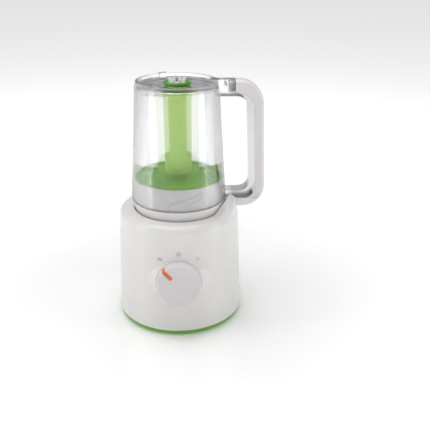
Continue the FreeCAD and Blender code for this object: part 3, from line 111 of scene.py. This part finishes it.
def moulded_plastic(name, colour, deeper, roughness, spread=0.05, grain_mm=1.2, grain=0.02,
                    wave_mm=25.0, wave=0.02, edge_highlight=None):
    """Opaque plastic from a mould: faint colour drift, uneven gloss, fine grain, slow waviness, a painted
    highlight on sharp edges.
    """
    material, tree, shader = empty_material(name)
    place = add_node(tree, "ShaderNodeTexCoord").outputs["Object"]
    drift = add_node(tree, "ShaderNodeTexNoise", links={"Vector": place}, Scale=1 / (wave_mm * MM),
                     Detail=3.0, Roughness=0.5)
    tint = add_node(tree, "ShaderNodeMixRGB", links={"Fac": drift.outputs["Fac"]},
                    Color1=paint(colour), Color2=paint(deeper))
    colour_out = tint.outputs["Color"]
    # Painted highlight: sharp edges, found by pointiness, are mixed towards a lighter colour for light
    # caught on their rounding.
    if edge_highlight:
        sharpness = add_node(tree, "ShaderNodeNewGeometry").outputs["Pointiness"]
        highlight_mask = add_node(tree, "ShaderNodeMapRange", links={"Value": sharpness})
        highlight_mask.inputs["From Min"].default_value = HIGHLIGHT_FROM
        highlight_mask.inputs["From Max"].default_value = HIGHLIGHT_FULL
        highlight_mask.inputs["To Max"].default_value = HIGHLIGHT_SHARE
        painted_highlight = add_node(tree, "ShaderNodeMixRGB",
                       links={"Fac": highlight_mask.outputs["Result"], "Color1": colour_out}, Color2=paint(edge_highlight))
        colour_out = painted_highlight.outputs["Color"]
    tree.links.new(colour_out, shader.inputs["Base Color"])
    gloss = add_node(tree, "ShaderNodeTexNoise", links={"Vector": place}, Scale=1 / GLOSS_PATCH,
                     Detail=5.0, Roughness=0.6)
    matt = add_node(tree, "ShaderNodeMapRange", links={"Value": gloss.outputs["Fac"]})
    matt.inputs["To Min"].default_value = max(roughness - spread, 0.02)
    matt.inputs["To Max"].default_value = roughness + spread
    tree.links.new(matt.outputs["Result"], shader.inputs["Roughness"])
    fine = add_node(tree, "ShaderNodeTexNoise", links={"Vector": place}, Scale=1 / (grain_mm * MM),
                    Detail=2.0)
    slow = add_node(tree, "ShaderNodeBump", links={"Height": drift.outputs["Fac"]}, Strength=wave,
                    Distance=0.4 * MM)
    bump = add_node(tree, "ShaderNodeBump",
                    links={"Height": fine.outputs["Fac"], "Normal": slow.outputs["Normal"]},
                    Strength=grain, Distance=0.05 * MM)
    tree.links.new(bump.outputs["Normal"], shader.inputs["Normal"])
    set_shader(shader, IOR=1.54)
    return material


# The last colour given to a finish is its painted highlight on sharp edges.
white_abs = moulded_plastic("white_abs_polished", "EFEEEC", "E6E4E2", 0.20, edge_highlight="F7F6F4")
white_abs_satin = moulded_plastic("white_abs_satin", "ECEAE9", "E2E0DF", 0.34, grain_mm=0.8, grain=0.05)
grip_abs = moulded_plastic("white_abs_grip", "E9E5E5", "DEDADA", 0.38, grain_mm=0.7, grain=0.08)
knob_abs = moulded_plastic("pale_grey_abs_knob", "E4E1E1", "DAD7D7", 0.33, grain_mm=0.8, grain=0.06,
                           edge_highlight="EFEDED")
tray_abs = moulded_plastic("white_abs_tray", "EDEBEA", "E0DEDC", 0.30)
coupling_pom = moulded_plastic("white_acetal", "F0EFEC", "E2E0DC", 0.36, grain_mm=0.6, grain=0.08,
                               edge_highlight="FAFAF8")
inner_abs = moulded_plastic("natural_abs_inside", "C6C3BC", "B9B5AD", 0.5, grain_mm=0.6, grain=0.15)
black_nylon = moulded_plastic("black_nylon", "1E1E20", "29292B", 0.45, grain_mm=0.5, grain=0.15,
                              edge_highlight="3A3A3C")
trim_abs = moulded_plastic("leaf_green_abs", "6FB52C", "63A826", 0.22, edge_highlight="8CCB4B")
strainer_pp = moulded_plastic("leaf_green_polypropylene", "86C44A", "79B83F", 0.30, edge_highlight="A6D972")
carrier_abs = moulded_plastic("grass_green_abs", "5DAA3A", "4E9A30", 0.26, edge_highlight="86C964")
pointer_abs = moulded_plastic("warm_orange_abs", "EC6A2A", "E25A20", 0.32, edge_highlight="F59A55")
print("moulded plastics:", len(bpy.data.materials))

# %% [markdown]
# The hub column is a lighter, slightly see-through green: light enters the polypropylene and
# scatters before it leaves. Subsurface scattering does that; a plain colour looks like paint.

# %% Translucent plastic
hub_pp = moulded_plastic("pale_green_polypropylene", "C4E884", "B6DE78", 0.30, edge_highlight="D4EFA0")
set_shader(hub_pp.node_tree.nodes["Principled BSDF"], Subsurface_Weight=0.25, Subsurface_Scale=3.0 * MM)
print("made", hub_pp.name)

# %% [markdown]
# The jar is clear moulded copolyester, which bends light much as glass does. Clear plastic is drawn by
# its edges: where the wall is seen edge on it refracts darker surroundings, and that dark rim is a
# painted shade that grows with the slant of the surface. Refraction alone would leave the inside half as
# bright as in life, so face on part of the light passes straight through. The handle's frame is thicker
# than the wall; its shaded side is painted greyer.


# %% Clear plastic
RIM_SHADE_FROM, RIM_SHADE_FULL = 0.30, 0.86  # slant where the painted rim shade starts, and is full
SOLID_FROM, SOLID_AT_RIM = 0.35, 0.95
FRAME_SHADE_FROM, FRAME_SHADE_FULL = 63 * MM, 70 * MM  # from the wall of the jar into the handle's frame, where the frame's painted shade starts, and is full
# Grey of the painted shade on the handle's frame.
FRAME_SHADE_TINT = "9A9894"
USE_MARK = 6.0 * MM


def clear_plastic(name, tint, deeper, ior, roughness, wave, alpha, rim_shade):
    """See-through plastic: faint tint drift, a painted rim shade, a painted shade on the handle's frame,
    moulding waviness and a haze of fine use marks.
    """
    material, tree, shader = empty_material(name)
    place = add_node(tree, "ShaderNodeTexCoord").outputs["Object"]
    drift = add_node(tree, "ShaderNodeTexNoise", links={"Vector": place}, Scale=1 / (40 * MM), Detail=2.0)
    colour = add_node(tree, "ShaderNodeMixRGB", links={"Fac": drift.outputs["Fac"]},
                      Color1=paint(tint), Color2=paint(deeper))
    # Painted shade: the colour darkens with the slant of the surface, standing in for the dark
    # surroundings that the edges refract.
    slant = add_node(tree, "ShaderNodeLayerWeight", Blend=0.45).outputs["Facing"]
    rim = add_node(tree, "ShaderNodeValToRGB", links={"Fac": slant})
    faced, edge_on = rim.color_ramp.elements
    faced.position, faced.color = RIM_SHADE_FROM, (1, 1, 1, 1)
    edge_on.position, edge_on.color = RIM_SHADE_FULL, paint(rim_shade)
    rim_shaded = add_node(tree, "ShaderNodeMixRGB", {"blend_type": "MULTIPLY"},
                        {"Color1": colour.outputs["Color"], "Color2": rim.outputs["Color"]}, Fac=1.0)
    # Painted shade: past 63 mm in x, on the handle's frame, the colour is darkened towards grey for the
    # frame's shaded side.
    reach = add_node(tree, "ShaderNodeSeparateXYZ", links={"Vector": place}).outputs["X"]
    frame_shade_mask = add_node(tree, "ShaderNodeMapRange", links={"Value": reach})
    frame_shade_mask.inputs["From Min"].default_value = FRAME_SHADE_FROM
    frame_shade_mask.inputs["From Max"].default_value = FRAME_SHADE_FULL
    frame_shaded = add_node(tree, "ShaderNodeMixRGB", {"blend_type": "MULTIPLY"},
                     {"Fac": frame_shade_mask.outputs["Result"], "Color1": rim_shaded.outputs["Color"]},
                     Color2=paint(FRAME_SHADE_TINT))
    tree.links.new(frame_shaded.outputs["Color"], shader.inputs["Base Color"])
    solid = add_node(tree, "ShaderNodeMapRange", links={"Value": slant})
    solid.inputs["From Min"].default_value = SOLID_FROM
    solid.inputs["To Min"].default_value = alpha
    solid.inputs["To Max"].default_value = SOLID_AT_RIM
    tree.links.new(solid.outputs["Result"], shader.inputs["Alpha"])
    marks = add_node(tree, "ShaderNodeTexNoise", links={"Vector": place}, Scale=1 / USE_MARK,
                     Detail=6.0, Roughness=0.7)
    haze = add_node(tree, "ShaderNodeMapRange", links={"Value": marks.outputs["Fac"]})
    haze.inputs["To Min"].default_value = max(roughness - 0.02, 0.0)
    haze.inputs["To Max"].default_value = roughness + 0.03
    tree.links.new(haze.outputs["Result"], shader.inputs["Roughness"])
    bump = add_node(tree, "ShaderNodeBump", links={"Height": drift.outputs["Fac"]}, Strength=wave,
                    Distance=0.3 * MM)
    tree.links.new(bump.outputs["Normal"], shader.inputs["Normal"])
    set_shader(shader, IOR=ior, Transmission_Weight=1.0)
    return material


# The last colour of each clear plastic is its painted rim shade.
clear_jar = clear_plastic("clear_copolyester", "FEFEFF", "FAFAFC", 1.50, 0.03, 0.05, 0.45, "3A3742")
clear_silicone = clear_plastic("clear_silicone", "E9E9E6", "DEDEDA", 1.41, 0.30, 0.10, 0.8, "A0A0A4")
print("clear plastics ready")

# %% [markdown]
# Rubber is soft and matt: its pores are too fine to see, so a grain of about half a millimetre is
# drawn a little coarser than it is.

# %% Rubber
grey_rubber = moulded_plastic("grey_rubber", "4A4A4C", "3E3E40", 0.75, grain_mm=0.5, grain=0.3,
                              edge_highlight="5E5E60")
set_shader(grey_rubber.node_tree.nodes["Principled BSDF"], IOR=1.52)
print("made", grey_rubber.name)

# %% [markdown]
# Metals take their colour from the reflection, so metallic is 1 and the IOR is left alone. Turned and
# rolled parts carry fine lines. The lines are made by stretching a noise along one axis: about 0.15 mm
# apart on a ground shaft, drawn at 0.5 mm because finer ones vanish at this distance.


# %% Metals
def worked_metal(name, colour, deeper, roughness, line_mm, stretch, strength):
    """Metal with a direction in its finish: lines, a drift of tone and uneven polish."""
    material, tree, shader = empty_material(name)
    place = add_node(tree, "ShaderNodeTexCoord").outputs["Object"]
    along = add_node(tree, "ShaderNodeMapping", links={"Vector": place})
    along.inputs["Scale"].default_value = stretch
    lines = add_node(tree, "ShaderNodeTexNoise", links={"Vector": along.outputs["Vector"]},
                     Scale=1 / (line_mm * MM), Detail=4.0)
    tone = add_node(tree, "ShaderNodeTexNoise", links={"Vector": place}, Scale=1 / (12 * MM), Detail=4.0)
    mixed = add_node(tree, "ShaderNodeMixRGB", links={"Fac": tone.outputs["Fac"]},
                     Color1=paint(colour), Color2=paint(deeper))
    tree.links.new(mixed.outputs["Color"], shader.inputs["Base Color"])
    polish = add_node(tree, "ShaderNodeMapRange", links={"Value": lines.outputs["Fac"]})
    polish.inputs["To Min"].default_value = roughness * 0.7
    polish.inputs["To Max"].default_value = roughness * 1.3
    tree.links.new(polish.outputs["Result"], shader.inputs["Roughness"])
    bump = add_node(tree, "ShaderNodeBump", links={"Height": lines.outputs["Fac"]}, Strength=strength,
                    Distance=0.05 * MM)
    tree.links.new(bump.outputs["Normal"], shader.inputs["Normal"])
    set_shader(shader, Metallic=1.0)
    return material


ALONG_Z = (1.0, 1.0, 0.05)
ROUND = (0.05, 0.05, 1.0)
EVEN = (1.0, 1.0, 1.0)
blade_steel = worked_metal("ground_stainless_steel", "C9C9CC", "B4B4B8", 0.20, 0.5, ROUND, 0.15)
shaft_steel = worked_metal("turned_steel", "BDBDC0", "A6A6AA", 0.24, 0.5, ROUND, 0.10)
zinc_steel = worked_metal("zinc_plated_steel", "C4C6C0", "A9ABA2", 0.35, 1.0, EVEN, 0.10)
core_steel = worked_metal("stacked_laminations", "6A6A70", "55555A", 0.45, 0.6, ROUND, 0.50)
spun_aluminium = worked_metal("pressed_aluminium", "D4D4D2", "C2C2C0", 0.38, 0.8, EVEN, 0.12)
enamelled_copper = worked_metal("enamelled_copper_wire", "B8652F", "94471C", 0.30, 0.6, ALONG_Z, 0.60)
graphite = moulded_plastic("pressed_graphite", "1A1A1C", "242426", 0.55, grain_mm=0.4, grain=0.3)
print("metals and graphite ready")

# %% [markdown]
# Each piece now gets the finish of the real one. The list is kept by finish and not by piece,
# because that shows at a glance which parts come from the same mould or the same sheet.

# %% Dress every piece
finishes = [
    (white_abs, ["housing"]),
    (white_abs_satin, ["lid"]),
    (tray_abs, ["seat_tray"]),
    (grip_abs, ["handle_grip"]),
    (knob_abs, ["knob", "tank_cap"]),
    (coupling_pom, ["drive_coupling", "driven_coupling", "interlock_pin"]),
    (trim_abs, ["trim_ring"]),
    (strainer_pp, ["strainer"]),
    (carrier_abs, ["blade_carrier", "carrier_nut"]),
    (hub_pp, ["blade_hub"]),
    (pointer_abs, ["knob_pointer"]),
    (clear_jar, ["jar"]),
    (clear_silicone, ["lid_seal", "carrier_seal", "cap_gasket", "steam_nozzle"]),
    (inner_abs, ["bottom_plate", "interlock_bracket", "switch_rotor"]),
    (black_nylon, ["cord_clamp", "cooling_fan", "brush_holders", "thermostat", "knob_spindle",
                   "rotary_switch", "microswitch"]),
    (grey_rubber, ["foot_ring", "cord_gland", "motor_isolators"]),
    (blade_steel, ["blade_wings"]),
    (shaft_steel, ["motor_shaft", "motor_bearings", "blade_shaft", "shaft_bush", "grip_pins",
                   "interlock_spring", "heating_element", "thermal_fuse"]),
    (zinc_steel, ["housing_screws", "tray_screws", "motor_bolts", "isolator_screws", "tank_screws"]),
    (core_steel, ["motor_stator", "armature"]),
    (spun_aluminium, ["upper_bracket", "lower_bracket", "boiler_tank", "tank_top"]),
    (enamelled_copper, ["field_coils", "commutator"]),
    (graphite, ["carbon_brushes"]),
]
for finish, names in finishes:
    for name in names:
        nodes[name].data.materials.clear()
        nodes[name].data.materials.append(finish)
undressed = sorted(set(nodes) - {name for _, names in finishes for name in names})
print("dressed", len(nodes) - len(undressed), "pieces, undressed:", undressed)

# %% [markdown]
# Round the knob there are three printed marks: steam waves, an O for off and a burst for
# blending. Pad-printed ink is a film a few hundredths of a millimetre thick. It could be painted with a
# procedural mask, but a thin raised ribbon keeps its edge crisp from every side, so each stroke
# is a narrow strip of mesh laid on the tapered side.

# %% Where the side is
housing_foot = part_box("housing")[0].z
knob_low, knob_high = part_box("knob")
side_points = [v.co for v in nodes["housing"].data.vertices]
INK_LIFT = 0.12 * MM
INK_WIDTH = 0.8 * MM
SIDE_FOOT_Z, SIDE_TOP_Z = housing_foot + 1.4 * MM, 139 * MM  # the straight part of the side
KNOB_Z = (knob_low.z + knob_high.z) / 2
MARK_RADIUS = 37.5 * MM


def side_radius_at(z):
    """Outer radius of the housing's straight side at a height, between its foot and its top."""
    low = max(p.xy.length for p in side_points if p.z < housing_foot + 8 * MM)
    high = max(p.xy.length for p in side_points if abs(p.z - SIDE_TOP_Z) < 2 * MM)
    return low + (high - low) * (z - SIDE_FOOT_Z) / (SIDE_TOP_Z - SIDE_FOOT_Z)


def on_side(u, v):
    """Point on the front of the side, u to the right and v up from the knob's centre."""
    z = KNOB_Z + v
    radius = side_radius_at(z) + INK_LIFT
    return Vector((u, -math.sqrt(radius ** 2 - u ** 2), z))


print("side radius at the knob:", round(side_radius_at(KNOB_Z) / MM, 2), "mm")


# %% Ink strokes
def ink_strokes(name, strokes):
    """One mesh of narrow ribbons with narrowed ends along lists of (u, v) points on the side."""
    mesh = bmesh.new()
    for stroke in strokes:
        rows = []
        for i, (u, v) in enumerate(stroke):
            before, after = stroke[max(i - 1, 0)], stroke[min(i + 1, len(stroke) - 1)]
            if stroke[0] == stroke[-1] and i in (0, len(stroke) - 1):
                before, after = stroke[-2], stroke[1]
            way = Vector((after[0] - before[0], after[1] - before[1])).normalized()
            taper = 0.55 if stroke[0] != stroke[-1] and i in (0, len(stroke) - 1) else 1.0
            half = way.orthogonal() * INK_WIDTH * 0.5 * taper
            rows.append([mesh.verts.new(on_side(u + half.x * s, v + half.y * s)) for s in (-1, 0, 1)])
        for a, b in zip(rows, rows[1:]):
            for k in (0, 1):
                mesh.faces.new((a[k], a[k + 1], b[k + 1], b[k]))
    bmesh.ops.recalc_face_normals(mesh, faces=mesh.faces)
    data = bpy.data.meshes.new(name)
    mesh.to_mesh(data)
    mesh.free()
    piece = bpy.data.objects.new(name, data)
    bpy.context.scene.collection.objects.link(piece)
    film = piece.modifiers.new("film", "SOLIDIFY")
    film.thickness = 0.1 * MM
    film.offset = 0.0
    return piece


def turned_point(degrees, radius, u=0.0, v=0.0):
    """Centre of a mark at an angle from straight up, moved by (u, v)."""
    angle = math.radians(degrees)
    return radius * math.sin(angle) + u, radius * math.cos(angle) + v


def wave_strokes(centre, height, count, gap):
    """Upright wavy lines, the usual sign for steam."""
    strokes = []
    for k in range(count):
        x = centre[0] + (k - (count - 1) / 2) * gap
        strokes.append([(x + 0.55 * MM * math.sin(t / 12 * math.tau), centre[1] + (t / 12 - 0.5) * height)
                        for t in range(13)])
    return strokes


def ring_stroke(centre, radius, steps=24):
    return [[(centre[0] + radius * math.sin(math.tau * i / steps),
              centre[1] + radius * math.cos(math.tau * i / steps)) for i in range(steps + 1)]]


def burst_strokes(centre, inner, outer, rays):
    """Short rays round a centre, a plain sign for the blades."""
    strokes = []
    for k in range(rays):
        a = math.tau * k / rays
        b = a + 0.5
        strokes.append([(centre[0] + inner * math.sin(a), centre[1] + inner * math.cos(a)),
                        (centre[0] + (inner + outer) / 2 * math.sin((a + b) / 2),
                         centre[1] + (inner + outer) / 2 * math.cos((a + b) / 2)),
                        (centre[0] + outer * math.sin(b), centre[1] + outer * math.cos(b))])
    return strokes


ink = moulded_plastic("grey_pad_print_ink", "A9A6A6", "9B9898", 0.45, grain_mm=0.5, grain=0.1)
marks = {
    "mark_steam": wave_strokes(turned_point(-38, MARK_RADIUS), 4.6 * MM, 3, 2.0 * MM),
    "mark_off": ring_stroke(turned_point(0, MARK_RADIUS), 2.1 * MM),
    "mark_blend": burst_strokes(turned_point(38, MARK_RADIUS), 0.9 * MM, 2.9 * MM, 4),
}
for name, strokes in marks.items():
    mark = ink_strokes(name, strokes)
    mark.data.materials.append(ink)
    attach(mark, "base")
print("printed marks:", sorted(marks))

# %% [markdown]
# The table is a glossy white board. Its upper layer mirrors the base softly, as lacquer does, and
# a faint unevenness about 60 mm across keeps the mirror image from being perfect. The board glows a
# little more the further it is from the base, so that it runs out into a white background.

# %% Table
NEAR, NEAR_GLOW = 0.10, 0.10  # metres from the middle, glow there
FAR, FAR_GLOW = 0.75, 0.62
board, tree, shader = empty_material("white_lacquered_board")
place = add_node(tree, "ShaderNodeTexCoord").outputs["Object"]
cloud = add_node(tree, "ShaderNodeTexNoise", links={"Vector": place}, Scale=1 / (60 * MM), Detail=3.0)
tone = add_node(tree, "ShaderNodeMixRGB", links={"Fac": cloud.outputs["Fac"]},
                Color1=paint("FFFFFF"), Color2=paint("FBFBFA"))
tree.links.new(tone.outputs["Color"], shader.inputs["Base Color"])
lacquer = add_node(tree, "ShaderNodeMapRange", links={"Value": cloud.outputs["Fac"]})
lacquer.inputs["To Min"].default_value = 0.10
lacquer.inputs["To Max"].default_value = 0.16
tree.links.new(lacquer.outputs["Result"], shader.inputs["Roughness"])
set_shader(shader, IOR=1.9, Emission_Strength=1.0)
away = add_node(tree, "ShaderNodeVectorMath", {"operation": "LENGTH"}, {"Vector": place}).outputs["Value"]
glow = add_node(tree, "ShaderNodeValToRGB", links={"Fac": away})
glow.color_ramp.interpolation = "EASE"
near_stop, far_stop = glow.color_ramp.elements
near_stop.position, near_stop.color = NEAR, (NEAR_GLOW, NEAR_GLOW, NEAR_GLOW, 1)
far_stop.position, far_stop.color = FAR, (FAR_GLOW, FAR_GLOW, FAR_GLOW, 1)
tree.links.new(glow.outputs["Color"], shader.inputs["Emission Color"])

FLOOR_HALF = 9.0
FLOOR_GAP = 0.2 * MM  # just below the feet, so the two faces don't flicker
mesh = bmesh.new()
bmesh.ops.create_grid(mesh, x_segments=8, y_segments=8, size=FLOOR_HALF)
data = bpy.data.meshes.new("table")
mesh.to_mesh(data)
mesh.free()
table = bpy.data.objects.new("table", data)
table.location.z = -FLOOR_GAP
bpy.context.scene.collection.objects.link(table)
table.data.materials.append(board)
print("table", 2 * FLOOR_HALF, "m wide")

# %% [markdown]
# A white thing on a white table is drawn only by soft reflections. Two tall soft boxes stand left
# and right, so that the side of the base shows a bright strip at each edge and stays greyer in
# the middle, a wide one hangs above for the rims and a faint one lights the front. The world fills
# the rest, darker from below.


# %% Light
def soft_box(name, place, target, size, energy):
    light = bpy.data.lights.new(name, "AREA")
    light.shape = "RECTANGLE"
    light.size, light.size_y = size
    light.energy = energy
    box = bpy.data.objects.new(name, light)
    box.location = place
    box.rotation_euler = (Vector(target) - Vector(place)).to_track_quat("-Z", "Y").to_euler()
    bpy.context.scene.collection.objects.link(box)
    return box


soft_box("left_box", (-1.35, -0.45, 0.55), (0, 0, 0.14), (0.5, 1.3), 5.0)
soft_box("right_box", (1.35, -0.55, 0.55), (0, 0, 0.14), (0.45, 1.3), 5.0)
soft_box("top_box", (-0.15, 0.15, 1.5), (0, 0, 0.1), (1.3, 1.0), 13)
soft_box("front_box", (0.1, -1.3, 1.35), (0, 0, 0.15), (1.2, 0.4), 2.6)
world = bpy.data.worlds.new("studio_fill")
world.use_nodes = True
sky = world.node_tree
way_up = add_node(sky, "ShaderNodeTexCoord").outputs["Generated"]
height = add_node(sky, "ShaderNodeSeparateXYZ", links={"Vector": way_up}).outputs["Z"]
fill = add_node(sky, "ShaderNodeValToRGB", links={"Fac": height})
fill.color_ramp.interpolation = "EASE"
lowest, highest = fill.color_ramp.elements
lowest.position, lowest.color = 0.0, paint("6A6A6C")
highest.position, highest.color = 0.75, paint("FFFFFF")
background = sky.nodes["Background"]
sky.links.new(fill.outputs["Color"], background.inputs["Color"])
background.inputs["Strength"].default_value = 0.36
bpy.context.scene.world = world
bpy.context.scene.view_settings.view_transform = "Standard"

# %% [markdown]
# The camera looks down at about 24 degrees from the front, a little to one side, with a lens that is
# neither wide nor long. A turn, a tilt and a small roll set it exactly.

# %% Camera
AWAY, HEIGHT = 0.7248, 0.4508
YAW, PITCH, ROLL, SWING = (math.radians(a) for a in (3.73, 23.65, 0.46, 1.25))
ahead_flat = Vector((math.sin(YAW), math.cos(YAW), 0))
right_flat = Vector((math.cos(YAW), -math.sin(YAW), 0))
up = Vector((0, 0, 1))
ahead = ahead_flat * math.cos(PITCH) - up * math.sin(PITCH)
above = up * math.cos(PITCH) + ahead_flat * math.sin(PITCH)
right = right_flat * math.cos(ROLL) + above * math.sin(ROLL)
above = above * math.cos(ROLL) - right_flat * math.sin(ROLL)
swing = Matrix.Rotation(SWING, 3, "Z")
right, above, ahead = swing @ right, swing @ above, swing @ ahead
stand = swing @ Vector((0, -AWAY, HEIGHT))
lens = bpy.data.cameras.new("camera")
lens.lens = 50
lens.sensor_width = 36
camera = bpy.data.objects.new("camera", lens)
bpy.context.scene.collection.objects.link(camera)
camera.matrix_world = Matrix((
    (right.x, above.x, -ahead.x, stand.x),
    (right.y, above.y, -ahead.y, stand.y),
    (right.z, above.z, -ahead.z, stand.z),
    (0, 0, 0, 1)))
bpy.context.scene.camera = camera
print("camera at", [round(c, 3) for c in stand])
